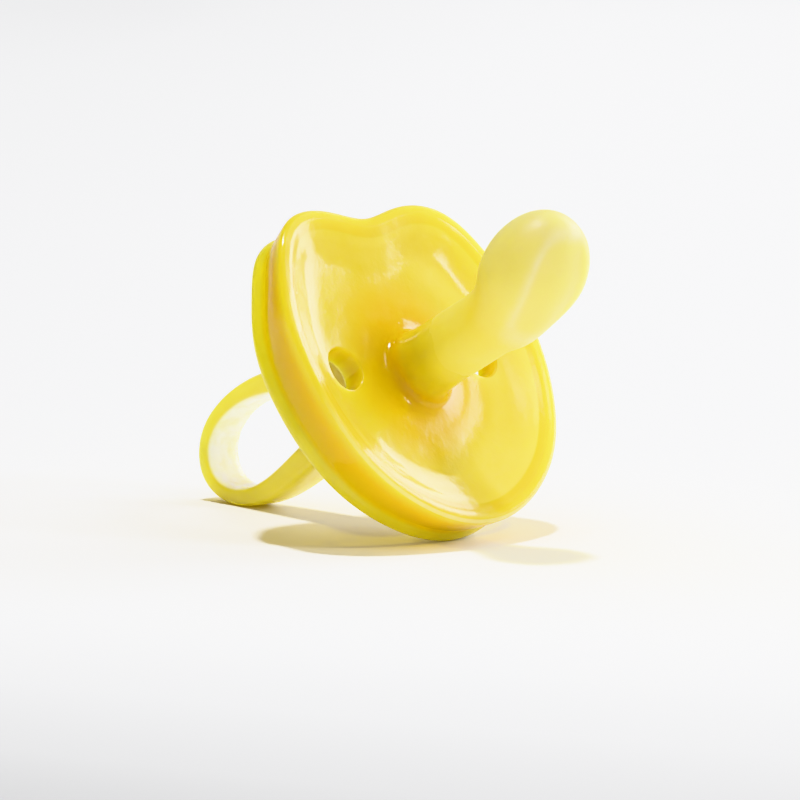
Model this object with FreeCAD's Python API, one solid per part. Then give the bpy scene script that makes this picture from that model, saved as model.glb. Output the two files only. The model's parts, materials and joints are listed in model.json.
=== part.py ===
"""Soft rubber pacifier: butterfly guard, hollow orthodontic teat and a loop handle.

The pacifier is modelled upright in its own frame and then leaned back on its chin.
Own frame: X to the side, Y up towards the nose notch, Z out along the teat, with the
origin on the teat's axis in the plane of the guard's front lip. Row frame: the same
object resting on its rear bead and on the loop, base centre at the origin, Z up.
"""

import FreeCAD
import Part

import math
import os

from FreeCAD import Vector

# Rest position
LEAN_DEG = 32.35  # the teat points this far above the horizontal at rest

# Guard outline, right half from the nose notch down to the chin: (side, up)
GUARD_HALF = [
    (0.0, 21.8),
    (7.5, 23.2),
    (15.7, 21.8),
    (20.9, 15.2),
    (23.6, 7.7),
    (23.9, 0.0),
    (22.3, -7.2),
    (18.9, -13.7),
    (13.6, -18.7),
    (7.1, -22.0),
    (0.0, -23.2),
]
WALL_BACK_Z = -5.5  # the tapering side wall ends here, in a shallow groove
WALL_TAPER = 1.3  # how far the wall is drawn in there
BEAD_Z = -6.9  # middle of the round rear bead
BEAD_R = 1.1
BEAD_INSET = 0.6  # outermost line of the bead, drawn in from the lip
BEAD_STEPS_DEG = (50, 20, -10, -40, -65, -90)  # round the bead's section
LIP_ROUND = 0.3
DISH_STEPS = [(0.05, 1.0), (-0.5, 2.4), (-1.2, 4.8), (-1.6, 7.6)]  # (height, inset)
DISH_FLOOR_Z = -1.6
POCKET_Z = -5.2  # back face of the web, inside the bead
POCKET_INSET = 3.6
OVERCUT = 1.0  # how far cutting tools reach past a face

# Vent holes
VENT_SIDE = 13.6
VENT_UP = 1.1
VENT_R = 3.0

# Teat: straight neck, then a bulb tilted up towards the nose
NECK_R = 4.6
TEAT_LENGTH = 31.4
BEND_START = 13.4
BEND_LENGTH = 10.0
BEND_DEG = 34.0
BULB_HALF_LENGTH = 9.0
BULB_HALF_WIDTH = 8.0
BULB_HALF_TOP = 6.3
BULB_HALF_BOTTOM = 7.0
BULB_SWELL = 11.0  # length over which the neck swells into the bulb
FACE_DISH = 1.5  # how far the tongue side of the bulb is flattened
FACE_DISH_LENGTH = 7.0  # the flattening grows over this length past the bend's start
FACE_DISH_WIDTH = 0.85  # as a share of the section's width
TEAT_WALL = 1.7
SECTION_POINTS = 20
PATH_STEPS = 80
NECK_STATIONS = [5.0, 8.0, 11.0, 14.0, 17.0, 19.7]
BALL_STATIONS_DEG = (52, 38, 20, 0)  # below the flexing height
TIP_STATIONS_DEG = (25, 45, 62, 74, 82)  # past the fullest section
TEAT_PIVOT_Z = 2.2  # the neck flexes about this height
SOCKET_GAP = 0.2
CUP_RIM_BELOW_PIVOT = 1.2

# Thick root of the teat, flared into the dish
ROOT_TOP_R = 5.9
ROOT_WAIST_R = 7.3
ROOT_WAIST_Z = -0.5
ROOT_BASE_R = 10.2
CORE_R = 2.4  # the hollow of the teat reaches down into the root and the web
CORE_END_Z = -4.0

# Loop handle: profile in the upright middle plane, as (back, up)
LOOP_PIVOT_Y = 1.0
LOOP_PIVOT_Z = -12.0
LOOP_ROOT_R = 5.3
LOOP_RIM_BEFORE_PIVOT = 3.5
LOOP_OUTER_TOP = [(-16.5, 8.2), (-22.6, 10.3), (-29.0, 11.2), (-34.8, 10.5), (-39.4, 7.9)]
LOOP_END = (-41.6, 3.2)
LOOP_OUTER_BOTTOM = [(-40.0, -1.3), (-36.4, -4.0), (-31.0, -5.2), (-23.0, -4.8), (-17.0, -4.3)]
LOOP_HOLE = [
    (-16.6, 2.3),
    (-18.2, 4.6),
    (-22.9, 6.8),
    (-28.9, 8.4),
    (-35.0, 8.0),
    (-38.5, 5.6),
    (-39.1, 1.7),
    (-36.0, -1.3),
    (-30.0, -2.0),
    (-23.3, -1.1),
    (-18.4, 0.3),
]
LOOP_PLAN = [(-12.0, 4.7), (-20.0, 4.5), (-28.0, 3.7), (-34.0, 3.3), (-42.0, 3.2)]
LOOP_PLAN_FRONT = 8.0  # the plan runs straight forward by this much
BOSS_HALF_WIDTH = 6.6
BOSS_HALF_HEIGHT = 7.0
BOSS_FLARE = 1.6
BOSS_WAIST_FLARE = 0.35
BOSS_WAIST_DROP = 1.2  # the flare has nearly died away this far behind the web

FAR = 60.0  # longer than anything here, for cutting tools


def smoothstep(t):
    t = min(max(t, 0.0), 1.0)
    return t * t * (3.0 - 2.0 * t)


def spline_face(points):
    """A face inside one closed smooth curve through the points."""
    curve = Part.BSplineCurve()
    curve.interpolate(Points=points, PeriodicFlag=True)
    return Part.Face(Part.Wire([curve.toShape()]))


def guard_wire(z, inset):
    """The guard's outline at one height, drawn in by the inset along its own normals."""
    left = [(-x, y) for x, y in reversed(GUARD_HALF[1:-1])]
    ring = (GUARD_HALF + left)[::-1]
    points = []
    for i, (x, y) in enumerate(ring):
        x0, y0 = ring[i - 1]
        x1, y1 = ring[(i + 1) % len(ring)]
        length = math.hypot(x1 - x0, y1 - y0)
        # the ring runs anticlockwise, so this normal points inwards
        nx = -(y1 - y0) / length
        ny = (x1 - x0) / length
        points.append(Vector(x + nx * inset, y + ny * inset, z))
    curve = Part.BSplineCurve()
    curve.interpolate(Points=points, PeriodicFlag=True)
    return Part.Wire([curve.toShape()])


def guard_loft(steps, ruled):
    """A solid through the guard's outline at each (height, inset) step."""
    return Part.makeLoft([guard_wire(z, inset) for z, inset in steps], True, ruled)


def wall_steps():
    """Side wall from the lip down to the groove, then round the rear bead."""
    steps = [(0.0, LIP_ROUND), (-LIP_ROUND, 0.0), (WALL_BACK_Z, WALL_TAPER)]
    for angle in BEAD_STEPS_DEG:
        turn = math.radians(angle)
        z = BEAD_Z + BEAD_R * math.sin(turn)
        steps.append((z, BEAD_INSET + BEAD_R * (1.0 - math.cos(turn))))
    return steps


def make_guard():
    back = BEAD_Z - BEAD_R
    guard = guard_loft(wall_steps(), True).cut(guard_loft(DISH_STEPS, True))
    guard = guard.cut(guard_loft([(back - OVERCUT, POCKET_INSET), (POCKET_Z, POCKET_INSET)], True))
    for side in (-VENT_SIDE, VENT_SIDE):
        vent = Part.makeCylinder(VENT_R, FAR, Vector(side, VENT_UP, -FAR / 2))
        guard = guard.cut(vent)
    core = Part.makeCylinder(CORE_R, FAR, Vector(0, 0, CORE_END_Z))
    return guard.cut(core).cut(teat_cup())


def teat_cup():
    """The round space that the neck's end turns in."""
    return Part.makeSphere(NECK_R + SOCKET_GAP, Vector(0, 0, TEAT_PIVOT_Z))


def make_teat_root():
    """The flared foot of the teat, with a round cup that the neck's end sits in."""
    rim_z = TEAT_PIVOT_Z - CUP_RIM_BELOW_PIVOT
    foot = Vector(ROOT_BASE_R, 0, DISH_FLOOR_Z)
    waist = Vector(ROOT_WAIST_R, 0, ROOT_WAIST_Z)
    rim = Vector(ROOT_TOP_R, 0, rim_z)
    flare = Part.BSplineCurve()
    flare.interpolate([foot, waist, rim])
    outline = Part.Wire(
        [
            flare.toShape(),
            Part.makeLine(rim, Vector(0, 0, rim_z)),
            Part.makeLine(Vector(0, 0, rim_z), Vector(0, 0, DISH_FLOOR_Z)),
            Part.makeLine(Vector(0, 0, DISH_FLOOR_Z), foot),
        ]
    )
    root = Part.Face(outline).revolve(Vector(0, 0, 0), Vector(0, 0, 1), 360)
    core = Part.makeCylinder(CORE_R, FAR, Vector(0, 0, -FAR / 2))
    return root.cut(teat_cup()).cut(core)


def teat_path(s):
    """Middle of the teat at a distance s from the lip plane: (up, out, tilt)."""
    up = 0.0
    out = 0.0
    tilt = 0.0
    for i in range(PATH_STEPS):
        at = s * (i + 0.5) / PATH_STEPS
        tilt = math.radians(BEND_DEG) * smoothstep((at - BEND_START) / BEND_LENGTH)
        up += math.sin(tilt) * s / PATH_STEPS
        out += math.cos(tilt) * s / PATH_STEPS
    return up, out, tilt


def teat_half_size(s, bulb_half):
    """Half size of the section at s, for a bulb of that half size at its fullest."""
    fullest = TEAT_LENGTH - BULB_HALF_LENGTH
    if s < TEAT_PIVOT_Z:
        return math.sqrt(NECK_R**2 - (TEAT_PIVOT_Z - s) ** 2)
    if s < fullest:
        return NECK_R + (bulb_half - NECK_R) * smoothstep((s - fullest + BULB_SWELL) / BULB_SWELL)
    t = (s - fullest) / BULB_HALF_LENGTH
    return bulb_half * math.sqrt(1.0 - t * t)


def teat_section(s, wall):
    """One closed section across the teat, moved in from the outside by the wall."""
    up, out, tilt = teat_path(s)
    side = teat_half_size(s, BULB_HALF_WIDTH) - wall
    top = teat_half_size(s, BULB_HALF_TOP) - wall
    bottom = teat_half_size(s, BULB_HALF_BOTTOM) - wall
    fullest = TEAT_LENGTH - BULB_HALF_LENGTH
    end = max(0.0, 1.0 - ((s - fullest) / BULB_HALF_LENGTH) ** 2)
    dish = FACE_DISH * smoothstep((s - BEND_START) / FACE_DISH_LENGTH) * end
    points = []
    for i in range(SECTION_POINTS):
        angle = 2.0 * math.pi * i / SECTION_POINTS
        x = side * math.cos(angle)
        q = (top if math.sin(angle) > 0 else bottom) * math.sin(angle)
        if math.sin(angle) < 0:
            q += dish * max(0.0, 1.0 - (math.cos(angle) / FACE_DISH_WIDTH) ** 2)
        points.append(Vector(x, up + q * math.cos(tilt), out - q * math.sin(tilt)))
    curve = Part.BSplineCurve()
    curve.interpolate(Points=points, PeriodicFlag=True)
    return Part.Wire([curve.toShape()])


def teat_loft(first, wall):
    """The teat's body from the first stations to the tip, moved in by the wall."""
    fullest = TEAT_LENGTH - BULB_HALF_LENGTH
    last = BULB_HALF_LENGTH - wall
    stations = first + NECK_STATIONS + [fullest]
    stations += [fullest + last * math.sin(math.radians(a)) for a in TIP_STATIONS_DEG]
    return Part.makeLoft([teat_section(s, wall) for s in stations], True, False)


def make_teat():
    """A hollow bulb and neck; the neck's lower end is a ball about the flexing height."""
    ball = [TEAT_PIVOT_Z - NECK_R * math.sin(math.radians(a)) for a in BALL_STATIONS_DEG]
    outer = teat_loft(ball, 0.0)
    hollow = teat_loft([TEAT_PIVOT_Z], TEAT_WALL)
    core = Part.makeCylinder(CORE_R, FAR, Vector(0, 0, TEAT_PIVOT_Z + OVERCUT - FAR))
    return outer.cut(hollow).cut(core)


def make_loop_root():
    """The boss on the guard's back, with the trough that the loop's end sits in."""
    back_z = LOOP_PIVOT_Z + LOOP_RIM_BEFORE_PIVOT
    sections = []
    waist_z = POCKET_Z - BOSS_WAIST_DROP
    for z, extra in ((POCKET_Z, BOSS_FLARE), (waist_z, BOSS_WAIST_FLARE), (back_z, 0.0)):
        ellipse = Part.Ellipse(
            Vector(0, LOOP_PIVOT_Y + BOSS_HALF_HEIGHT + extra, z),
            Vector(BOSS_HALF_WIDTH + extra, LOOP_PIVOT_Y, z),
            Vector(0, LOOP_PIVOT_Y, z),
        )
        sections.append(Part.Wire([ellipse.toShape()]))
    boss = Part.makeLoft(sections, True, False)
    trough = Part.makeCylinder(
        LOOP_ROOT_R + SOCKET_GAP,
        FAR,
        Vector(-FAR / 2, LOOP_PIVOT_Y, LOOP_PIVOT_Z),
        Vector(1, 0, 0),
    )
    return boss.cut(trough)


def in_middle_plane(points):
    return [Vector(-FAR / 2, up, back) for back, up in points]


def make_loop():
    """A flat band bent round a finger hole, narrower at its far end than at its root."""
    foot_top = Vector(-FAR / 2, LOOP_PIVOT_Y + LOOP_ROOT_R, LOOP_PIVOT_Z)
    foot_bottom = Vector(-FAR / 2, LOOP_PIVOT_Y - LOOP_ROOT_R, LOOP_PIVOT_Z)
    foot_front = Vector(-FAR / 2, LOOP_PIVOT_Y, LOOP_PIVOT_Z + LOOP_ROOT_R)
    route = LOOP_OUTER_TOP + [LOOP_END] + LOOP_OUTER_BOTTOM
    outer = Part.BSplineCurve()
    outer.interpolate([foot_top] + in_middle_plane(route) + [foot_bottom])
    foot = Part.Arc(foot_bottom, foot_front, foot_top)
    outline = Part.Face(Part.Wire([outer.toShape(), foot.toShape()]))
    hole = spline_face(in_middle_plane(LOOP_HOLE))
    band = outline.cut(hole).extrude(Vector(FAR, 0, 0))

    right = [Vector(half, -FAR / 2, back) for back, half in LOOP_PLAN]
    left = [Vector(-half, -FAR / 2, back) for back, half in reversed(LOOP_PLAN)]
    forward = Vector(0, 0, LOOP_PLAN_FRONT)
    front = [right[0] + forward, left[-1] + forward]
    right_edge = Part.BSplineCurve()
    right_edge.interpolate(right)
    left_edge = Part.BSplineCurve()
    left_edge.interpolate(left)
    plan = Part.Wire(
        [
            right_edge.toShape(),
            Part.makeLine(right[-1], left[0]),
            left_edge.toShape(),
            Part.makeLine(left[-1], front[1]),
            Part.makeLine(front[1], front[0]),
            Part.makeLine(front[0], right[0]),
        ]
    )
    return band.common(Part.Face(plan).extrude(Vector(0, FAR, 0)))


def place_at_rest(shapes):
    """Leans every piece back and sets the whole on the floor, centred over the origin."""
    leaned = {}
    for name, shape in shapes.items():
        copy = shape.copy()
        copy.rotate(Vector(0, 0, 0), Vector(1, 0, 0), 90.0 - LEAN_DEG)
        leaned[name] = copy
    box = Part.makeCompound(list(leaned.values())).optimalBoundingBox(False, False)
    drop = Vector(0, -(box.YMin + box.YMax) / 2, -box.ZMin)
    for shape in leaned.values():
        shape.translate(drop)
    return leaned, drop


def report_places(drop):
    """Prints the joint axes and the vent centres in the row frame, in millimetres."""
    places = {
        "teat pivot": Vector(0, 0, TEAT_PIVOT_Z),
        "loop pivot": Vector(0, LOOP_PIVOT_Y, LOOP_PIVOT_Z),
        "right vent": Vector(VENT_SIDE, VENT_UP, (DISH_FLOOR_Z + POCKET_Z) / 2),
        "origin": Vector(0, 0, 0),
    }
    turn = FreeCAD.Rotation(Vector(1, 0, 0), 90.0 - LEAN_DEG)
    for name, at in places.items():
        spot = turn.multVec(at) + drop
        print(f"{name}: {spot.x:.3f} {spot.y:.3f} {spot.z:.3f}")
    out = turn.multVec(Vector(0, 0, 1))
    print(f"teat direction: {out.x:.5f} {out.y:.5f} {out.z:.5f}")


def main():
    shapes = {
        "guard": make_guard(),
        "teat_root": make_teat_root(),
        "teat": make_teat(),
        "loop_root": make_loop_root(),
        "loop_handle": make_loop(),
    }
    placed, drop = place_at_rest(shapes)
    os.makedirs("parts", exist_ok=True)
    for name, shape in placed.items():
        shape.exportStep(f"parts/{name}.step")
        box = shape.optimalBoundingBox(False, False)
        print(
            f"{name}: solids {len(shape.Solids)} valid {shape.isValid()} "
            f"volume {shape.Volume:.0f} mm3 low {box.ZMin:.2f} "
            f"size {box.XLength:.1f} x {box.YLength:.1f} x {box.ZLength:.1f}"
        )
    report_places(drop)


main()
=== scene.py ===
"""Natural-rubber pacifier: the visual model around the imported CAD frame.

The shape is worked out in the pacifier's own frame, in millimetres: x to the side, y up
towards the nose notch, z out along the teat, origin on the teat's axis in the plane of
the guard's lip. to_row() turns it into the row frame, in metres.
"""

import json
import math

import bpy
import numpy as np
from mathutils import Matrix, Vector


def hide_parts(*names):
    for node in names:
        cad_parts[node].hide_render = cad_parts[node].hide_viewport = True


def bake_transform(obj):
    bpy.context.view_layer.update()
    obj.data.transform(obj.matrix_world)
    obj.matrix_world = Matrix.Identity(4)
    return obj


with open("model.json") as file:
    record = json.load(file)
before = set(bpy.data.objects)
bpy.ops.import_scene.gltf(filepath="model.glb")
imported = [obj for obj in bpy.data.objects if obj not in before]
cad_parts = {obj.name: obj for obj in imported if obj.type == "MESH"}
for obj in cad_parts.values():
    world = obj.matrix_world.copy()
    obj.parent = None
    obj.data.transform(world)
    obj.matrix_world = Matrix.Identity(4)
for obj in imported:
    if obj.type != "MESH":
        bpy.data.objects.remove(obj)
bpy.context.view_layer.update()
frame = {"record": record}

MM = 0.001

# --- The pacifier's own frame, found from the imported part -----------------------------

TEAT_PIVOT_Z = 2.2


def own_frame():
    """Origin and axes of the pacifier's own frame in the row frame."""
    vent = [m for m in frame["record"]["mounts"] if m["name"] == "vent_right"][0]
    pivot = [j for j in frame["record"]["behaviour"]["joints"] if j["name"] == "teat_flex"][0]
    out = np.array(vent["axis"]) / np.linalg.norm(vent["axis"])
    side = np.array([1.0, 0.0, 0.0])
    up = np.cross(out, side)
    origin = np.array(pivot["pos_m"]) - out * TEAT_PIVOT_Z * MM
    return origin, np.array([side, up, out])


ORIGIN, AXES = own_frame()


def to_row(points):
    """Own frame in millimetres to row frame in metres."""
    return ORIGIN + np.atleast_2d(points) @ AXES * MM


# --- Small helpers ---------------------------------------------------------------------


def smoothstep(t):
    """0 below 0, 1 above 1, and smooth between."""
    t = np.clip(t, 0.0, 1.0)
    return t * t * (3.0 - 2.0 * t)


def fade(value, start, end):
    """Smooth step from 0 at the start to 1 at the end."""
    return smoothstep((value - start) / (end - start))


def periodic_spline(knots, values, at):
    """Closed natural cubic spline through values at the knots, one period being 2 pi."""
    n = len(knots)
    h = np.diff(np.append(knots, knots[0] + 2.0 * math.pi))
    system = np.zeros((n, n))
    right = np.zeros((n, values.shape[1]))
    for i in range(n):
        before = h[i - 1]
        after = h[i]
        system[i, i - 1] = before
        system[i, i] = 2.0 * (before + after)
        system[i, (i + 1) % n] = after
        rise = (values[(i + 1) % n] - values[i]) / after
        right[i] = 6.0 * (rise - (values[i] - values[i - 1]) / before)
    bend = np.linalg.solve(system, right)
    at = np.mod(np.asarray(at) - knots[0], 2.0 * math.pi) + knots[0]
    i = np.clip(np.searchsorted(knots, at, side="right") - 1, 0, n - 1)
    step = h[i][:, None]
    a = (knots[i] + h[i] - at)[:, None]
    b = (at - knots[i])[:, None]
    j = (i + 1) % n
    return (
        bend[i] * a**3 / (6 * step)
        + bend[j] * b**3 / (6 * step)
        + (values[i] / step - bend[i] * step / 6) * a
        + (values[j] / step - bend[j] * step / 6) * b
    )


class Skin:
    """Collects rings of points in the own frame and the faces between them."""

    def __init__(self):
        self.points = []
        self.faces = []
        self.thin = []
        # share of cream per point: painted highlights and reflections, and the lower lip's
        # frosted flash
        self.frost_and_painted_highlight = []

    def ring(self, points, thin=0.5, frost_and_painted_highlight=0.0):
        """Adds a closed ring of points; returns their numbers."""
        first = len(self.points)
        self.points.extend(np.asarray(points, float).tolist())
        self.thin.extend(np.broadcast_to(thin, len(points)).tolist())
        self.frost_and_painted_highlight.extend(np.broadcast_to(frost_and_painted_highlight, len(points)).tolist())
        return list(range(first, len(self.points)))

    def band(self, a, b, skip=None):
        """Quads between two closed rings; skip(i) leaves out the quad after point i."""
        n = len(a)
        for i in range(n):
            if skip is None or not skip(i):
                j = (i + 1) % n
                self.faces.append((a[i], a[j], b[j], b[i]))

    def cap(self, ring, centre, flip=False):
        """Closes a ring with a fan of triangles."""
        middle = len(self.points)
        self.points.append(list(centre))
        self.thin.append(self.thin[ring[0]])
        self.frost_and_painted_highlight.append(self.frost_and_painted_highlight[ring[0]])
        n = len(ring)
        for i in range(n):
            j = (i + 1) % n
            face = (ring[i], ring[j], middle)
            self.faces.append(face[::-1] if flip else face)

    def mesh(self, name):
        """The finished piece, subdivided once."""
        data = bpy.data.meshes.new(name)
        data.from_pydata(to_row(self.points).tolist(), [], self.faces)
        data.attributes.new("thin", "FLOAT", "POINT").data.foreach_set("value", self.thin)
        data.attributes.new("frost_and_painted_highlight", "FLOAT", "POINT").data.foreach_set("value", self.frost_and_painted_highlight)
        piece = bpy.data.objects.new(name, data)
        bpy.context.scene.collection.objects.link(piece)
        for face in data.polygons:
            face.use_smooth = True
        subdivision = piece.modifiers.new("Subdivision", "SUBSURF")
        subdivision.levels = 1
        subdivision.render_levels = 1
        return piece


# --- Thinness, which the material turns into colour --------------------------------------

# 0 is the deepest amber and 1 the palest yellow; on the web's right side a painted highlight adds
# to it
WALL_THIN = 0.04
VENT_THIN = 0.22
RIM_THIN = 0.38
BEAD_THIN = 0.5
LOOP_THIN = 0.62
BACK_THIN = 0.1
WEB_ROOT_THIN = 0.02
WEB_OUT_GAIN = 0.53
# painted highlight: paler web right of the teat's root
WEB_RIGHT_PAINTED_HIGHLIGHT = 0.16
NECK_ROOT_THIN = 0.30


def web_thin_and_painted_highlight(radius, angle):
    """Thinness of the guard's web: least where the teat's root fills it, and raised by a painted
    highlight on the root's right side.
    """
    # painted highlight on the root's right side
    right = WEB_RIGHT_PAINTED_HIGHLIGHT * smoothstep(np.cos(angle + 0.35)) * fade(radius, 5.5, 9.5)
    return WEB_ROOT_THIN + WEB_OUT_GAIN * fade(radius, 7.0, 17.0) + right


def neck_thin(s):
    """Thinness of the teat, which pales from its root upwards."""
    return NECK_ROOT_THIN + (1.0 - NECK_ROOT_THIN) * fade(s, -1.5, 10.5)


# --- Guard -----------------------------------------------------------------------------

# Right half of the outline from the nose notch down to the chin: (side, up)
GUARD_HALF = [
    (0.0, 21.8),
    (7.5, 23.2),
    (15.7, 21.8),
    (20.9, 15.2),
    (23.6, 7.7),
    (23.9, 0.0),
    (22.3, -7.2),
    (18.9, -13.7),
    (13.6, -18.7),
    (7.1, -22.0),
    (0.0, -23.2),
]
TURNS = 160  # points round the teat's axis
ANGLES = 2.0 * math.pi * np.arange(TURNS) / TURNS
VENT_SIDE = 13.6
VENT_UP = 1.1
VENT_R = 3.0
VENT_ROUND = 0.3
NECK_R = 4.6

# Both faces are rings round the teat; a block of their quads is opened for each vent
BLOCK_IN = 9.3
BLOCK_OUT = 17.4  # inside the back face's edge even at the nose notch
BLOCK_RINGS = 10
VENT_TURNS = 8  # half width of the opened block, in steps round the axis
RIGHT_VENT_TURN = 2
LEFT_VENT_TURN = 78


def outline_table():
    """The outline as radius and lean of its normal against the angle round the teat."""
    left = [(-x, y) for x, y in reversed(GUARD_HALF[1:-1])]
    ring = np.array(GUARD_HALF + left)[::-1]
    turn = np.unwrap(np.arctan2(ring[:, 1], ring[:, 0]))
    shift = 2.0 * math.pi * math.floor(turn[0] / (2.0 * math.pi))
    turn = turn - shift
    fine = np.linspace(0.0, 2.0 * math.pi, 1441)
    radius = periodic_spline(turn, np.hypot(ring[:, 0], ring[:, 1])[:, None], fine)[:, 0]
    slope = np.gradient(radius, fine)
    return fine, radius, radius / np.hypot(radius, slope)


FINE, FINE_RADIUS, FINE_COS = outline_table()


def outline_radius(angle):
    """Distance from the teat's axis to the outline."""
    return np.interp(np.mod(angle, 2.0 * math.pi), FINE, FINE_RADIUS)


def outline_cos(angle):
    """Cosine between the outline's normal and the line to the teat's axis."""
    return np.interp(np.mod(angle, 2.0 * math.pi), FINE, FINE_COS)


RIM_SIDE_FORWARD = 0.9  # the guard's sides curve towards the face
RIM_SIDE = 24.0  # by that much at this distance from the middle plane
RIM_RELEASE = 0.75  # share of that curve which the dish's floor loses
RIM_BAND = 1.5  # soft convex band inside the lip
RIM_CREST = 0.12
CREASE_INSET = 1.6  # crease between the band and the slope
CREASE_DEPTH = 0.10
CREASE_HALF = 0.30
BAND_UP = (14.0, 2.0)  # band and crease grow between these heights
RIPPLE = 0.03  # faint parallel waves under the nose notch
RIPPLE_STEP = 2.3
RIPPLE_INSET = 4.2
RIPPLE_REACH = 2.8
RIPPLE_UP = (9.0, 15.0)  # the waves grow between these heights
RIDGE = 0.035  # faint ridges that follow the chin
RIDGE_STEP = 2.6
RIDGE_START = (1.7, 3.2)  # the ridges grow and die away between these insets
RIDGE_END = (7.5, 4.5)
RIDGE_UP = (-2.0, -10.0)
DISH_DEPTH = 1.75
DISH_WIDTH = 5.6
DISH_CORNER = 0.09  # softness of the turn from the slope into the floor
BOWL_DEPTH = 0.45  # the floor sags a little towards the middle
BOWL_R = 21.0
FLARE_PULL = 1.0  # how far the teat's root spreads into the dish
FLARE_SOFT = 0.18
FLARE_END = 13.0  # the trumpet has died away here
FOOT_TOP = 0.6  # height where the neck's rings give way to the trumpet's
FLARE_RINGS = 13
FOOT_GAP = 0.5  # between the trumpet's last ring and the face's first
BEAD_Z = -6.9
BEAD_R = 1.1
BEAD_INSET = 0.6
POCKET_Z = -5.5
POCKET_INSET = 3.4
POCKET_SLOPE = 0.9


def ramp_up(value, ends):
    """Straight rise from 0 to 1 between the two ends."""
    start, end = ends
    return np.clip((value - start) / (end - start), 0.0, 1.0)


def rim_height(x):
    """Height of the lip, which curves forward to the sides."""
    return RIM_SIDE_FORWARD * (x / RIM_SIDE) ** 2


def inset_of(x, y):
    """How far a point lies inside the guard's outline."""
    angle = np.arctan2(y, x)
    return (outline_radius(angle) - np.hypot(x, y)) * outline_cos(angle)


def bowl(radius):
    """How far the dish's floor sags."""
    return BOWL_DEPTH * np.clip(1.0 - (radius / BOWL_R) ** 2, 0.0, 1.0)


def flare_height(radius):
    """Trumpet of the teat's root above the dish, steep beside the neck."""
    return FLARE_PULL / (radius - NECK_R + FLARE_SOFT)


def face_relief(y, inset):
    """Faint relief on the face: waves at the top, a band with its crease, low ridges."""
    near = np.clip(1.0 - np.abs(inset - RIPPLE_INSET) / RIPPLE_REACH, 0.0, 1.0)
    waves = RIPPLE * np.sin(2.0 * math.pi * inset / RIPPLE_STEP) * near * fade(y, *RIPPLE_UP)
    band = RIM_CREST * np.sin(math.pi * ramp_up(inset, (0.0, RIM_BAND))) ** 2
    crease = CREASE_DEPTH * np.exp(-(((inset - CREASE_INSET) / CREASE_HALF) ** 2))
    low = fade(y, *RIDGE_UP) * ramp_up(inset, RIDGE_START) * ramp_up(inset, RIDGE_END)
    ridges = RIDGE * np.sin(2.0 * math.pi * inset / RIDGE_STEP) * low
    return (band - crease) * fade(y, *BAND_UP) - waves + ridges


def front_height(x, y):
    """The guard's front face: lip, slope into the dish, relief, and the teat's flare."""
    inset = inset_of(x, y)
    radius = np.hypot(x, y)
    slope = (inset - RIM_BAND) / DISH_WIDTH
    corner = np.exp(-slope / DISH_CORNER) + math.exp(-1.0 / DISH_CORNER)
    dish = DISH_DEPTH * np.maximum(-DISH_CORNER * np.log(corner), 0.0)
    dish = dish + bowl(radius) * smoothstep(slope)
    rim = rim_height(x) * (1.0 - RIM_RELEASE * smoothstep(slope))
    flare = flare_height(radius) * fade(radius, FLARE_END, BLOCK_IN)
    return rim - dish + face_relief(y, inset) + flare


def back_height(x, y):
    """The guard's back face inside the bead."""
    drop = fade(inset_of(x, y), POCKET_INSET - POCKET_SLOPE, POCKET_INSET)
    return BEAD_Z - BEAD_R + (POCKET_Z - BEAD_Z + BEAD_R) * drop


def polar(radius, height):
    """A ring of points at the given radius and height for each of the angles."""
    return np.stack([radius * np.cos(ANGLES), radius * np.sin(ANGLES), height], axis=1)


# --- Teat ------------------------------------------------------------------------------

TEAT_LENGTH = 31.4
BEND_START = 13.4
BEND_LENGTH = 10.0
BEND_DEG = 34.0
BULB_HALF_LENGTH = 9.0
BULB_HALF_WIDTH = 8.0
BULB_HALF_TOP = 6.3
BULB_HALF_BOTTOM = 7.0
FULLEST = TEAT_LENGTH - BULB_HALF_LENGTH  # the bulb's widest section
BULB_SWELL = 11.0
TEAT_WALL = 1.7
TEAT_STEP = 0.62  # between the rings up the neck
PATH_STEPS = 120
RECESS_DEPTH = 1.8  # the hollow on the bulb's tongue side
RECESS_WIDTH = 0.90  # as a share of the bulb's half width
RECESS_EDGE = 1.05
RECESS_START = BEND_START + 0.5
RECESS_LENGTH = 7.0
# painted highlight along the recess's rim
RECESS_RIM_PAINTED_HIGHLIGHT = 0.2
RECESS_RIM_LEVEL = 0.25  # share of the full depth where the painted highlight line runs
RECESS_RIM_SPREAD = 0.22


def teat_tilt(s):
    """How far the teat has bent towards the nose at a distance s along it."""
    return math.radians(BEND_DEG) * fade(s, BEND_START, BEND_START + BEND_LENGTH)


def teat_path(s):
    """Middle of the teat at a distance s along it: (up, out, tilt)."""
    steps = np.linspace(0.0, s, PATH_STEPS + 1)
    tilt = teat_tilt((steps[1:] + steps[:-1]) / 2.0)
    up = float(np.sum(np.sin(tilt)) * s / PATH_STEPS)
    out = float(np.sum(np.cos(tilt)) * s / PATH_STEPS)
    return up, out, float(teat_tilt(s))


def bulb_end(s):
    """1 at the bulb's fullest section, falling to 0 at the tip, squared like an ellipse."""
    return max(0.0, 1.0 - ((s - FULLEST) / BULB_HALF_LENGTH) ** 2)


def teat_half_size(s, bulb_half):
    """Half the teat's size at s, in the direction where the bulb has the given half size."""
    if s < FULLEST:
        swell = fade(s, FULLEST - BULB_SWELL, FULLEST)
        return NECK_R + (bulb_half - NECK_R) * float(swell)
    return bulb_half * math.sqrt(bulb_end(s))


def flare_extra(s):
    """How much wider than the neck the root is at s; flare_height turned inside out."""
    depth = DISH_DEPTH + float(bowl(NECK_R))
    return max(0.0, FLARE_PULL / (s + depth) - FLARE_SOFT)


def recess_across():
    """The recess round the section: 1 in its middle, 0 at its edges and the nose side."""
    across = smoothstep(RECESS_EDGE * (1.0 - (np.cos(ANGLES) / RECESS_WIDTH) ** 2))
    return np.where(np.sin(ANGLES) < 0, across, 0.0)


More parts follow.
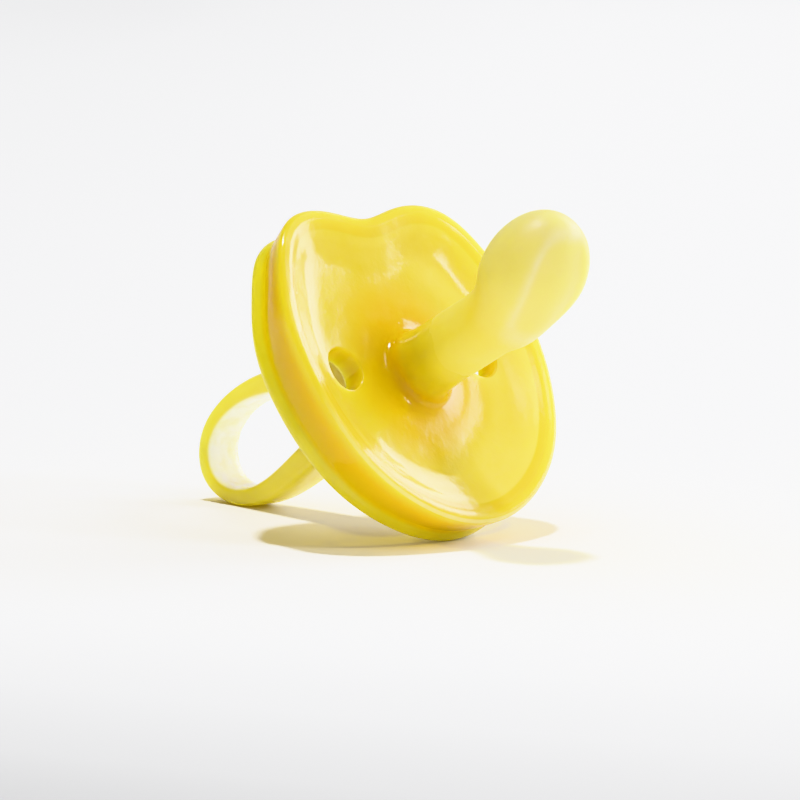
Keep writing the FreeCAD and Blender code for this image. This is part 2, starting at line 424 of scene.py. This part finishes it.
def recess_along(s):
    """The recess along the teat: 0 on the neck and at the tip."""
    grown = fade(s, RECESS_START, RECESS_START + RECESS_LENGTH)
    return float(grown * smoothstep(1.1 * bulb_end(s)))


def recess_rim_painted_highlight(s):
    """Painted highlight: a paler line round the recess, where it is a quarter deep."""
    level = recess_across() * recess_along(s)
    line = np.exp(-(((level - RECESS_RIM_LEVEL) / RECESS_RIM_SPREAD) ** 2))
    return RECESS_RIM_PAINTED_HIGHLIGHT * line * fade(s, BEND_START, BEND_START + 3.0)


def teat_ring(s, wall):
    """One ring of points across the teat, moved in from the outside by the wall."""
    up, out, tilt = teat_path(s) if s > 0 else (0.0, s, 0.0)
    extra = flare_extra(s) if wall == 0 else 0.0
    side = teat_half_size(s, BULB_HALF_WIDTH) - wall + extra
    top = teat_half_size(s, BULB_HALF_TOP) - wall + extra
    bottom = teat_half_size(s, BULB_HALF_BOTTOM) - wall + extra
    x = side * np.cos(ANGLES)
    sine = np.sin(ANGLES)
    q = np.where(sine > 0, top, bottom) * sine
    q = q + RECESS_DEPTH * recess_along(s) * recess_across()
    return np.stack([x, up + q * math.cos(tilt), out - q * math.sin(tilt)], axis=1)


def teat_stations(first, wall):
    """Stations from the first up the neck and the bulb to just short of the tip."""
    along = list(np.arange(first, FULLEST, TEAT_STEP))
    last = BULB_HALF_LENGTH - wall
    return along + [FULLEST + last * math.sin(math.radians(a)) for a in range(2, 90, 4)]


def flare_rings(skin):
    """Rings down the root's trumpet, from the neck out to the dish."""
    rings = []
    first = NECK_R + flare_extra(FOOT_TOP)
    last = BLOCK_IN - FOOT_GAP
    for t in np.linspace(0.0, 1.0, FLARE_RINGS + 1)[1:]:
        r = first + (last - first) * t
        height = float(flare_height(r) - DISH_DEPTH - bowl(NECK_R + (r - NECK_R) * t))
        ring = polar(np.full(TURNS, r), np.full(TURNS, height))
        rings.append(skin.ring(ring, web_thin_and_painted_highlight(r, ANGLES)))
    return rings


# --- Building the guard and teat as one skin ---------------------------------------------


def in_block(i):
    """Whether the quad after point i lies in one of the two vent blocks."""
    for middle in (RIGHT_VENT_TURN, LEFT_VENT_TURN):
        if (i - middle + VENT_TURNS) % TURNS < 2 * VENT_TURNS:
            return True
    return False


def block_edge(rings, middle):
    """The opened block's border, anticlockwise seen from the front, as point numbers."""
    low = (middle - VENT_TURNS) % TURNS
    high = (middle + VENT_TURNS) % TURNS
    edge = [rings[k][low] for k in range(len(rings))]
    edge += [rings[-1][(low + k) % TURNS] for k in range(1, 2 * VENT_TURNS + 1)]
    edge += [rings[k][high] for k in range(len(rings) - 2, -1, -1)]
    edge += [rings[0][(high - k) % TURNS] for k in range(1, 2 * VENT_TURNS)]
    return edge


def vent_lip(skin, edge, side, height, sign):
    """Loops from a block's border to the vent's rounded rim; returns the last loop."""
    border = np.array([skin.points[k] for k in edge])
    centre = np.array([side * VENT_SIDE, VENT_UP])
    away = border[:, :2] - centre
    turn = np.arctan2(away[:, 1], away[:, 0])
    circle = np.stack([np.cos(turn), np.sin(turn)], axis=1)
    loop = edge
    start = VENT_R + VENT_ROUND
    rings = []
    for t in VENT_MORPH:
        x, y = (border[:, :2] * (1 - t) + (centre + circle * start) * t).T
        thin = web_thin_and_painted_highlight(np.hypot(x, y), np.arctan2(y, x))
        rings.append(skin.ring(np.stack([x, y, height(x, y)], axis=1), thin))
    z = height(*(centre + circle * start).T)
    for angle in VENT_STEPS_DEG:
        a = math.radians(angle)
        flat = centre + circle * (start - VENT_ROUND * math.sin(a))
        points = np.column_stack([flat, z - sign * VENT_ROUND * (1 - math.cos(a))])
        rings.append(skin.ring(points, VENT_THIN))
    for following in rings:
        skin.band(loop, following) if sign > 0 else skin.band(following, loop)
        loop = following
    return loop


def face_rings(skin, height, outer_inset):
    """Rings of one face of the guard from the root's foot out to the given inset."""
    reach = outline_radius(ANGLES) - outer_inset / outline_cos(ANGLES)
    radii = [np.full(TURNS, r) for r in np.linspace(BLOCK_IN, BLOCK_OUT, BLOCK_RINGS + 1)]
    shares = np.linspace(0.0, 1.0, EDGE_RINGS + 1)[1:]
    radii += [BLOCK_OUT + (reach - BLOCK_OUT) * t for t in shares]
    rings = []
    for r in radii:
        z = height(r * np.cos(ANGLES), r * np.sin(ANGLES))
        rings.append(skin.ring(polar(r, z), web_thin_and_painted_highlight(r, ANGLES)))
    return rings


LIP_ROUND = 0.5
LIP_ROUND_TOP = 0.75
# lower lip: frosted flash with a painted highlight over it
LIP_FROST_AND_HIGHLIGHT = 0.22
GROOVE_Z = -5.35
WALL_TAPER = 1.25
LOBE_INSET = 0.9  # the bead stands further in behind the two upper lobes
LOBE_TURN = 48.0  # degrees from the notch to a lobe
LOBE_SPREAD = 22.0
FACE_EDGE = 3.0  # insets where the faces' rings end
BACK_EDGE = 4.0
RIM_INSETS = (2.7, 2.45, 2.2, 2.0, 1.85, 1.7, 1.55, 1.4, 1.25, 1.05, 0.85, 0.65, 0.5)
LIP_STEPS_DEG = (20, 40, 60, 75, 90)
LIP_FROST_AND_HIGHLIGHT_STEPS = 3  # of the lip's rings, the ones with the frost and painted highlight
WALL_STEPS = (0.06, 0.16, 0.3, 0.5, 0.7, 0.85, 0.95, 1.0)
BEAD_STEPS_DEG = (48, 34, 18, 0, -18, -36, -54, -72, -90)
POCKET_INSETS = (2.1, 2.45, 2.65, 2.85, 3.05, 3.25, 3.45, 3.8)
BACK_MIDDLE_RADII = (7.5, 5.5, 3.5, 1.5)
EDGE_RINGS = 8  # between the opened blocks and a face's edge
VENT_MORPH = (0.3, 0.6, 0.85, 1.0)  # from the block's border to the vent
VENT_STEPS_DEG = (22, 45, 68, 90)
VENT_DEPTHS = (0.33, 0.66)


def lobe_inset():
    """Extra inset of the wall's foot and bead behind the upper lobes."""
    turn = np.abs(np.degrees(ANGLES) - 90.0)
    turn = np.minimum(turn, 360.0 - turn)
    return LOBE_INSET * np.exp(-(((turn - LOBE_TURN) / LOBE_SPREAD) ** 2))


def lip_frost_and_painted_highlight():
    """Pale frosting along the lower half of the lip: partly its frosted mould flash, partly a
    painted highlight.
    """
    return LIP_FROST_AND_HIGHLIGHT * fade(-np.sin(ANGLES), 0.05, 0.55)


def add_teat(skin):
    """The teat's outside, from the tip down its root; returns the last ring."""
    foot = flare_rings(skin)
    stations = teat_stations(FOOT_TOP, 0.0)[::-1]
    # the bulb's rings carry the painted highlight round the recess
    rings = [skin.ring(teat_ring(s, 0.0), neck_thin(s), recess_rim_painted_highlight(s)) for s in stations]
    rings += foot
    up, out, _ = teat_path(TEAT_LENGTH)
    skin.cap(rings[0], (0.0, up, out))
    for a, b in zip(rings, rings[1:]):
        skin.band(b, a)
    return rings[-1]


def add_hollow(skin):
    """The hollow inside the teat, its faces turned inwards."""
    stations = teat_stations(0.2, TEAT_WALL)[::-1]
    rings = [skin.ring(teat_ring(s, TEAT_WALL), neck_thin(s)) for s in stations]
    up, out, _ = teat_path(TEAT_LENGTH - TEAT_WALL)
    skin.cap(rings[0], (0.0, up, out), flip=True)
    for a, b in zip(rings, rings[1:]):
        skin.band(a, b)
    skin.cap(rings[-1], (0.0, 0.0, -1.0))


def add_edge(skin, last):
    """Rim band, lip, side wall and bead, by inset from the outline; returns the last ring."""
    cosine = outline_cos(ANGLES)
    radius = outline_radius(ANGLES)
    lobes = lobe_inset()
    rings = []
    for inset in RIM_INSETS:
        r = radius - inset / cosine
        z = front_height(r * np.cos(ANGLES), r * np.sin(ANGLES))
        rings.append(skin.ring(polar(r, z), RIM_THIN))
    lip = LIP_ROUND + (LIP_ROUND_TOP - LIP_ROUND) * smoothstep(np.sin(ANGLES))
    for k, angle in enumerate(LIP_STEPS_DEG):
        a = math.radians(angle)
        r = radius - lip * (1 - math.sin(a)) / cosine
        z = rim_height(r * np.cos(ANGLES)) - lip * (1 - math.cos(a))
        # the lip's outer rings carry the frost and the painted highlight
        rings.append(skin.ring(polar(r, z), RIM_THIN, lip_frost_and_painted_highlight() if k < LIP_FROST_AND_HIGHLIGHT_STEPS else 0.0))
    edge_z = rim_height(radius * np.cos(ANGLES)) - lip
    for t in WALL_STEPS:
        inset = WALL_TAPER * (0.55 * t + 0.45 * t**2.2) + lobes * t
        z = edge_z + (GROOVE_Z - edge_z) * t
        thin = RIM_THIN + (WALL_THIN - RIM_THIN) * float(smoothstep(t / 0.3))
        rings.append(skin.ring(polar(radius - inset / cosine, z), thin))
    for angle in BEAD_STEPS_DEG:
        a = math.radians(angle)
        inset = BEAD_INSET + BEAD_R * (1 - math.cos(a)) + lobes
        z = np.full(TURNS, BEAD_Z + BEAD_R * math.sin(a))
        rings.append(skin.ring(polar(radius - inset / cosine, z), BEAD_THIN))
    first, flat = POCKET_INSETS[0], POCKET_INSETS[-1]
    for inset in POCKET_INSETS:
        r = radius - (inset + lobes * (flat - inset) / (flat - first)) / cosine
        z = back_height(r * np.cos(ANGLES), r * np.sin(ANGLES))
        rings.append(skin.ring(polar(r, z)))
    for following in rings:
        skin.band(following, last)
        last = following
    return last


def build_guard_and_teat():
    """The guard and the teat as one whole skin, with a closed hollow inside it."""
    skin = Skin()
    root = add_teat(skin)

    front = face_rings(skin, front_height, FACE_EDGE)
    skin.band(front[0], root)
    for k, (a, b) in enumerate(zip(front, front[1:])):
        skin.band(b, a, in_block if k < BLOCK_RINGS else None)
    last = add_edge(skin, front[-1])

    back = face_rings(skin, back_height, BACK_EDGE)
    skin.band(back[-1], last)
    for k, (a, b) in enumerate(zip(back, back[1:])):
        skin.band(a, b, in_block if k < BLOCK_RINGS else None)
    last = back[0]
    for r in BACK_MIDDLE_RADII:
        middle = polar(np.full(TURNS, r), np.full(TURNS, POCKET_Z))
        following = skin.ring(middle, BACK_THIN)
        skin.band(following, last)
        last = following
    skin.cap(last, (0.0, 0.0, POCKET_Z), flip=True)

    # Vents through both faces
    for side, turn in ((1, RIGHT_VENT_TURN), (-1, LEFT_VENT_TURN)):
        rings = front[: BLOCK_RINGS + 1]
        top = vent_lip(skin, block_edge(rings, turn), side, front_height, 1)
        rings = back[: BLOCK_RINGS + 1]
        low = vent_lip(skin, block_edge(rings, turn), side, back_height, -1)
        loop = top
        high = np.array([skin.points[k] for k in top])
        deep = np.array([skin.points[k] for k in low])
        for t in VENT_DEPTHS:
            following = skin.ring(high * (1 - t) + deep * t, VENT_THIN)
            skin.band(loop, following)
            loop = following
        skin.band(loop, low)

    add_hollow(skin)
    return skin.mesh("guard_and_teat")


# --- Loop handle -------------------------------------------------------------------------

LOOP_HOLE = [
    (-16.6, 2.3),
    (-18.2, 4.6),
    (-22.9, 6.8),
    (-28.9, 8.4),
    (-35.0, 8.0),
    (-38.5, 5.6),
    (-39.1, 1.7),
    (-36.0, -1.3),
    (-30.0, -2.0),
    (-23.3, -1.1),
    (-18.4, 0.3),
]
LOOP_OUTER = [
    (-5.3, 9.6),
    (-7.6, 7.6),
    (-10.5, 6.4),
    (-16.5, 8.2),
    (-22.6, 10.3),
    (-29.0, 11.2),
    (-34.8, 10.5),
    (-39.4, 7.9),
    (-41.6, 3.2),
    (-40.0, -1.3),
    (-36.4, -4.0),
    (-31.0, -5.2),
    (-23.0, -4.8),
    (-17.0, -4.3),
    (-10.5, -4.3),
    (-7.6, -5.6),
    (-5.3, -7.6),
]
LOOP_STATIONS = 128
CURVE_POINTS = 2000
SECTION_POINTS = 56
SECTION_POWER = 0.42  # of the band's section: 1 is an ellipse, 0 a rectangle
EYE_FACE = (0.55, 0.95)  # the painted reflection grows towards the face of the eye
EYE_EDGE = (1.0, 0.88)  # and inwards from the band's edges
LOOP_WIDE = 4.7  # half the band's width near the guard, and at its end
LOOP_NARROW = 3.25
LOOP_NARROWING = (-14.0, -34.0)  # it narrows between these distances out
BOSS_EXTRA = 3.6  # extra half width where the loop's root meets the guard
BOSS_OUT = (-9.6, -6.0)  # it grows between these distances out


def closed_curve(points):
    """Many points along a smooth closed curve through the given ones."""
    points = np.array(points, float)
    gaps = np.linalg.norm(np.roll(points, -1, axis=0) - points, axis=1)
    knots = np.concatenate([[0.0], np.cumsum(gaps)[:-1]]) * 2.0 * math.pi / gaps.sum()
    at = np.linspace(0, 2 * math.pi, CURVE_POINTS + 1)[:-1]
    return periodic_spline(knots, points, at)


def loop_half_width(out):
    """Half the band's width at a distance out behind the lip plane."""
    base = LOOP_WIDE + (LOOP_NARROW - LOOP_WIDE) * float(fade(out, *LOOP_NARROWING))
    return base + BOSS_EXTRA * float(ramp_up(out, BOSS_OUT)) ** 2.2


def outward_normals(ring):
    """Unit normals of a closed ring of points in the plane, turned away from its middle."""
    tangent = np.roll(ring, -1, axis=0) - np.roll(ring, 1, axis=0)
    tangent /= np.linalg.norm(tangent, axis=1)[:, None]
    normal = np.stack([-tangent[:, 1], tangent[:, 0]], axis=1)
    outward = np.mean(np.sum(normal * (ring - ring.mean(axis=0)), axis=1)) > 0
    return normal if outward else -normal


def across_band(point, normal, outer):
    """The outer curve's point straight across the band from a point of the hole."""
    ahead = (outer - point) @ normal
    side = (outer - point) @ np.array([-normal[1], normal[0]])
    return outer[int(np.argmin(np.where(ahead > 0, np.abs(side), np.inf)))]


def build_loop():
    """The loop and its root as one ring of rounded sections, with a painted reflection, pale,
    inside the eye.
    """
    skin = Skin()
    hole = closed_curve(LOOP_HOLE)
    outer = closed_curve(LOOP_OUTER)
    inner = hole[:: CURVE_POINTS // LOOP_STATIONS][:LOOP_STATIONS]
    rings = []
    for point, normal in zip(inner, outward_normals(inner)):
        end = across_band(point, normal, outer)
        section = []
        pale = []
        for k in range(SECTION_POINTS):
            angle = 2.0 * math.pi * (k + 0.5) / SECTION_POINTS
            c, s = math.cos(angle), math.sin(angle)
            a = math.copysign(abs(c) ** SECTION_POWER, c)
            b = math.copysign(abs(s) ** SECTION_POWER, s)
            out, up = (point + end) / 2.0 + (end - point) / 2.0 * a
            section.append((b * loop_half_width(out), up, out))
            # painted reflection on the band's inner face round the eye, away from its edges
            pale.append(float(fade(-a, *EYE_FACE) * fade(abs(b), *EYE_EDGE)))
        rings.append(skin.ring(section, LOOP_THIN, pale))
    for a, b in zip(rings, rings[1:] + rings[:1]):
        skin.band(a, b)
    return skin.mesh("loop_skin")


# --- Materials -----------------------------------------------------------------------------


def link(tree, start, end):
    """Joins two sockets."""
    tree.links.new(start, end)


def new_node(tree, kind, **settings):
    """A new node with the given settings."""
    node = tree.nodes.new(kind)
    for name, value in settings.items():
        setattr(node, name, value)
    return node


def colour_mix(tree, share, low, high):
    """A colour between low and high by the share, which is a socket."""
    mix = new_node(tree, "ShaderNodeMix", data_type="RGBA")
    link(tree, share, mix.inputs[0])
    for socket, colour in ((mix.inputs[6], low), (mix.inputs[7], high)):
        if isinstance(colour, tuple):
            socket.default_value = (*colour, 1.0)
        else:
            link(tree, colour, socket)
    return mix.outputs[2]


# Colour by thinness, and over it the cream of painted highlights and reflections, on the lower
# lip also of its frosted flash
THICK_AMBER = (0.60, 0.39, 0.002)
WEB_YELLOW = (0.555, 0.45, 0.055)
THIN_PALE = (0.90, 0.775, 0.175)
FROST_AND_PAINTED_HIGHLIGHT_WHITE = (0.97, 0.94, 0.84)
# Light that passes through to the shadow
THICK_SHADOW = (0.48, 0.41, 0.03)
THIN_SHADOW = (0.62, 0.58, 0.30)


def map_range(tree, value, low, high, to_low, to_high):
    """A smooth step of a socket's value from one range to another."""
    node = new_node(tree, "ShaderNodeMapRange", interpolation_type="SMOOTHSTEP")
    ends = {"From Min": low, "From Max": high, "To Min": to_low, "To Max": to_high}
    for socket, number in ends.items():
        node.inputs[socket].default_value = number
    link(tree, value, node.inputs["Value"])
    return node.outputs[0]


def noise(tree, where, scale, detail, distortion=0.0):
    """A noise texture's value over the surface."""
    node = new_node(tree, "ShaderNodeTexNoise")
    node.inputs["Scale"].default_value = scale
    node.inputs["Detail"].default_value = detail
    node.inputs["Distortion"].default_value = distortion
    link(tree, where, node.inputs["Vector"])
    return node.outputs["Fac"]


def math_node(tree, operation, first, second):
    """Arithmetic on two values, each a socket or a number."""
    node = new_node(tree, "ShaderNodeMath", operation=operation)
    for socket, value in zip(node.inputs, (first, second)):
        if isinstance(value, (int, float)):
            socket.default_value = value
        else:
            link(tree, value, socket)
    return node.outputs[0]


def rubber_colour(tree, where, thin, frost_and_painted_highlight):
    """Amber to pale yellow by thinness, slightly clouded, with the cream of painted highlights
    and of the lip's frost over it.
    """
    cloud = noise(tree, where, scale=90.0, detail=3.0, distortion=0.6)
    cloud = map_range(tree, cloud, 0.3, 0.7, -0.05, 0.05)
    ramp = new_node(tree, "ShaderNodeValToRGB")
    ramp.color_ramp.elements[0].color = (*THICK_AMBER, 1.0)
    ramp.color_ramp.elements[1].color = (*THIN_PALE, 1.0)
    ramp.color_ramp.elements.new(0.5).color = (*WEB_YELLOW, 1.0)
    link(tree, math_node(tree, "ADD", thin, cloud), ramp.inputs[0])
    patchy = noise(tree, where, scale=420.0, detail=5.0)
    patchy = map_range(tree, patchy, 0.25, 0.6, 0.7, 1.0)
    # speckled cream of the painted highlights and of the lip's frost
    frost_and_highlight_share = math_node(tree, "MULTIPLY", frost_and_painted_highlight, patchy)
    return colour_mix(tree, frost_and_highlight_share, ramp.outputs[0], FROST_AND_PAINTED_HIGHLIGHT_WHITE)


def rubber_normal(tree, where):
    """Fine grain over a soft swell."""
    normal = None
    for scale, detail, strength, distance in (
        (1500.0, 3.0, 0.35, 0.00006),
        (170.0, 2.0, 0.5, 0.0002),
    ):
        bump = new_node(tree, "ShaderNodeBump")
        bump.inputs["Strength"].default_value = strength
        bump.inputs["Distance"].default_value = distance
        link(tree, noise(tree, where, scale, detail), bump.inputs["Height"])
        if normal is not None:
            link(tree, normal, bump.inputs["Normal"])
        normal = bump.outputs["Normal"]
    return normal


def rubber(name, gloss, satin):
    """Translucent rubber: deep amber and glossy where thick, paler and satin where thin."""
    material = bpy.data.materials.new(name)
    material.use_nodes = True
    tree = material.node_tree
    tree.nodes.clear()
    out = new_node(tree, "ShaderNodeOutputMaterial")
    shader = new_node(tree, "ShaderNodeBsdfPrincipled")
    where = new_node(tree, "ShaderNodeTexCoord").outputs["Object"]
    thin = new_node(tree, "ShaderNodeAttribute", attribute_name="thin").outputs["Fac"]
    # where the painted highlights and the lip's frost lie
    frost_and_painted_highlight = new_node(tree, "ShaderNodeAttribute", attribute_name="frost_and_painted_highlight").outputs["Fac"]
    link(tree, rubber_colour(tree, where, thin, frost_and_painted_highlight), shader.inputs["Base Color"])
    shader.inputs["Subsurface Weight"].default_value = 1.0
    shader.inputs["Subsurface Radius"].default_value = (1.0, 1.0, 0.3)
    shader.inputs["Subsurface Scale"].default_value = 0.015
    shader.inputs["IOR"].default_value = 1.40
    dull = map_range(tree, thin, 0.6, 0.95, gloss, satin)
    smear = noise(tree, where, scale=260.0, detail=4.0, distortion=0.4)
    smear = map_range(tree, smear, 0.35, 0.75, 0.0, 0.09)
    link(tree, math_node(tree, "ADD", dull, smear), shader.inputs["Roughness"])
    link(tree, rubber_normal(tree, where), shader.inputs["Normal"])

    # Coloured light in the shadow
    clear = new_node(tree, "ShaderNodeBsdfTransparent")
    pale = map_range(tree, thin, 0.55, 0.95, 0.0, 1.0)
    link(tree, colour_mix(tree, pale, THICK_SHADOW, THIN_SHADOW), clear.inputs["Color"])
    path = new_node(tree, "ShaderNodeLightPath")
    mix = new_node(tree, "ShaderNodeMixShader")
    link(tree, path.outputs["Is Shadow Ray"], mix.inputs[0])
    link(tree, shader.outputs[0], mix.inputs[1])
    link(tree, clear.outputs[0], mix.inputs[2])
    link(tree, mix.outputs[0], out.inputs["Surface"])
    return material


# --- Stage, lights and camera --------------------------------------------------------------

CAMERA_AZIMUTH = -49.54
CAMERA_ELEVATION = 7.39
CAMERA_ROLL = 2.77
CAMERA_DISTANCE = 0.640
SENSOR_MM = 36.0
FOCAL_MM = 217.278
AIM_OFFSET = (3.43, 4.84)  # where the teat's root sits right of and above the view's middle


def add_camera():
    """The camera in front of the pacifier, to its right and a little above."""
    az = math.radians(CAMERA_AZIMUTH)
    el = math.radians(CAMERA_ELEVATION)
    toward = Vector((math.sin(az) * math.cos(el), -math.cos(az) * math.cos(el), math.sin(el)))
    right = Vector((0, 0, 1)).cross(toward).normalized()
    up = toward.cross(right)
    roll = Matrix.Rotation(math.radians(CAMERA_ROLL), 3, toward)
    right = roll @ right
    up = roll @ up
    data = bpy.data.cameras.new("Camera")
    data.sensor_width = SENSOR_MM
    data.lens = FOCAL_MM
    data.clip_start = 0.05
    data.clip_end = 50.0
    camera = bpy.data.objects.new("Camera", data)
    bpy.context.scene.collection.objects.link(camera)
    target = Vector(ORIGIN) - right * AIM_OFFSET[0] * MM - up * AIM_OFFSET[1] * MM
    place = target + toward * CAMERA_DISTANCE
    turn = Matrix((right, up, toward)).transposed()
    camera.matrix_world = Matrix.Translation(place) @ turn.to_4x4()
    bpy.context.scene.camera = camera


def camera_axes():
    """Level directions ahead of the camera and to its right."""
    az = math.radians(CAMERA_AZIMUTH)
    ahead = Vector((-math.sin(az), math.cos(az), 0.0))
    right = Vector((math.cos(az), math.sin(az), 0.0))
    return ahead, right


AIM_HEIGHT = 0.02  # the area lights point this far above the floor


def facing(place, way):
    """A matrix that puts a light at the place, shining against the way."""
    return Matrix.Translation(place) @ way.to_track_quat("Z", "Y").to_matrix().to_4x4()


def add_sun(name, tilt_right, tilt_back, strength, width):
    """A sun that leans from straight overhead to the picture's right and back, in degrees."""
    ahead, right = camera_axes()
    data = bpy.data.lights.new(name, "SUN")
    data.energy = strength
    data.angle = math.radians(width)
    light = bpy.data.objects.new(name, data)
    bpy.context.scene.collection.objects.link(light)
    side = right * math.tan(math.radians(tilt_right))
    back = ahead * math.tan(math.radians(tilt_back))
    place = (Vector((0, 0, 1)) + side + back).normalized()
    light.matrix_world = facing(place, place)


def add_softbox(name, place, size, power):
    """A rectangular area light aimed at the pacifier; place is (right, ahead, up) in metres."""
    ahead, right = camera_axes()
    data = bpy.data.lights.new(name, "AREA")
    data.shape = "RECTANGLE"
    data.size, data.size_y = size
    data.energy = power
    light = bpy.data.objects.new(name, data)
    bpy.context.scene.collection.objects.link(light)
    at = right * place[0] + ahead * place[1] + Vector((0, 0, place[2]))
    light.matrix_world = facing(at, at - Vector((0, 0, AIM_HEIGHT)))


def distance_along(tree, where, way):
    """How far a point lies along a direction."""
    dot = new_node(tree, "ShaderNodeVectorMath", operation="DOT_PRODUCT")
    link(tree, where, dot.inputs[0])
    dot.inputs[1].default_value = way
    return dot.outputs["Value"]


FLOOR_HALF = 4.0
# Painted light and shade on the floor against the distance ahead of the pacifier: brightest just
# in front of it, darker towards the camera and far behind
FLOOR_PAINTED_SHADE = [
    (-0.20, 0.44),
    (-0.16, 0.52),
    (-0.115, 0.72),
    (-0.08, 0.93),
    (0.0, 0.86),
    (0.5, 0.78),
    (1.30, 0.64),
]
FLOOR_COOLNESS = 1.01
# Painted shade, dimmer on the left: from and to these distances right, by these factors
FLOOR_LEFT_PAINTED_SHADE = (-0.14, 0.08, 0.83, 1.05)


def floor_painted_shade(tree, where):
    """The floor's painted shade ahead and behind, before the painted shade on the left."""
    start, end = FLOOR_PAINTED_SHADE[0][0], FLOOR_PAINTED_SHADE[-1][0]
    share = new_node(tree, "ShaderNodeMapRange")
    share.inputs["From Min"].default_value = start
    share.inputs["From Max"].default_value = end
    link(tree, distance_along(tree, where, camera_axes()[0]), share.inputs["Value"])
    ramp = new_node(tree, "ShaderNodeValToRGB")
    ramp.color_ramp.interpolation = "B_SPLINE"
    stops = ramp.color_ramp.elements
    for ahead, _ in FLOOR_PAINTED_SHADE[1:-1]:
        stops.new((ahead - start) / (end - start))
    for stop, (_, tone) in zip(stops, FLOOR_PAINTED_SHADE):
        stop.color = (tone, tone, tone * FLOOR_COOLNESS, 1.0)
    link(tree, share.outputs[0], ramp.inputs[0])
    return ramp.outputs[0]


def add_stage():
    """The white floor, with painted shade towards the camera, far behind and on the left."""
    data = bpy.data.meshes.new("floor")
    half = FLOOR_HALF
    data.from_pydata(
        [(-half, -half, 0), (half, -half, 0), (half, half, 0), (-half, half, 0)],
        [],
        [(0, 1, 2, 3)],
    )
    floor = bpy.data.objects.new("floor", data)
    bpy.context.scene.collection.objects.link(floor)
    material = bpy.data.materials.new("floor_with_painted_shade")
    material.use_nodes = True
    tree = material.node_tree
    shader = tree.nodes["Principled BSDF"]
    where = new_node(tree, "ShaderNodeTexCoord").outputs["Object"]
    scale = new_node(tree, "ShaderNodeVectorMath", operation="SCALE")
    # painted shade: darker towards the camera and far behind
    link(tree, floor_painted_shade(tree, where), scale.inputs[0])
    sideways = distance_along(tree, where, camera_axes()[1])
    # painted shade: dimmer on the left
    link(tree, map_range(tree, sideways, *FLOOR_LEFT_PAINTED_SHADE), scale.inputs["Scale"])
    link(tree, scale.outputs["Vector"], shader.inputs["Base Color"])
    shader.inputs["Roughness"].default_value = 0.6
    shader.inputs["Specular IOR Level"].default_value = 0.0
    data.materials.append(material)


WORLD_LEFT = 0.14
WORLD_BACK_RIGHT = 0.80
WORLD_FRONT = 0.64
WORLD_TOP = 0.35


def add_world():
    """Surroundings: white behind to the right and in front, dim to the left and above."""
    world = bpy.data.worlds.new("studio")
    world.use_nodes = True
    tree = world.node_tree
    ahead, right = camera_axes()
    where = new_node(tree, "ShaderNodeTexCoord").outputs["Generated"]
    parts = []
    for way, start, strength in (
        (ahead * 0.8 + right * 0.6, 0.0, WORLD_BACK_RIGHT),
        (right * 0.3 - ahead * 0.95, 0.1, WORLD_FRONT),
    ):
        parts.append(map_range(tree, distance_along(tree, where, way), start, 0.9, 0.0, strength))
    split = new_node(tree, "ShaderNodeSeparateXYZ")
    link(tree, where, split.inputs[0])
    top = map_range(tree, split.outputs[2], 0.3, 0.8, 1.0, WORLD_TOP)
    around = math_node(tree, "ADD", math_node(tree, "ADD", parts[0], parts[1]), WORLD_LEFT)
    strength = math_node(tree, "MULTIPLY", around, top)
    link(tree, strength, tree.nodes["Background"].inputs["Strength"])
    tree.nodes["Background"].inputs["Color"].default_value = (1, 1, 1, 1)
    bpy.context.scene.world = world


add_camera()
add_stage()
add_world()
add_sun("overhead", -4.0, 3, 3.0, 4.0)
add_softbox("side_softbox", (1.12, 1.40, 0.80), (1.06, 0.92), 25.0)
add_softbox("slope_strip", (1.57, 0.86, 0.58), (0.52, 0.76), 11.0)
add_softbox("right_strip", (1.55, -0.32, 0.95), (0.30, 0.38), 8.0)
add_softbox("right_top", (0.92, -0.46, 1.60), (0.36, 0.42), 3.5)
bpy.context.scene.view_settings.view_transform = "Khronos PBR Neutral"

body = build_guard_and_teat()
body.data.materials.append(rubber("rubber", gloss=0.10, satin=0.40))
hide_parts("guard", "teat_root", "teat")
loop = build_loop()
loop.data.materials.append(rubber("loop_rubber", gloss=0.14, satin=0.30))
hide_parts("loop_root", "loop_handle")
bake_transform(body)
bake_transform(loop)
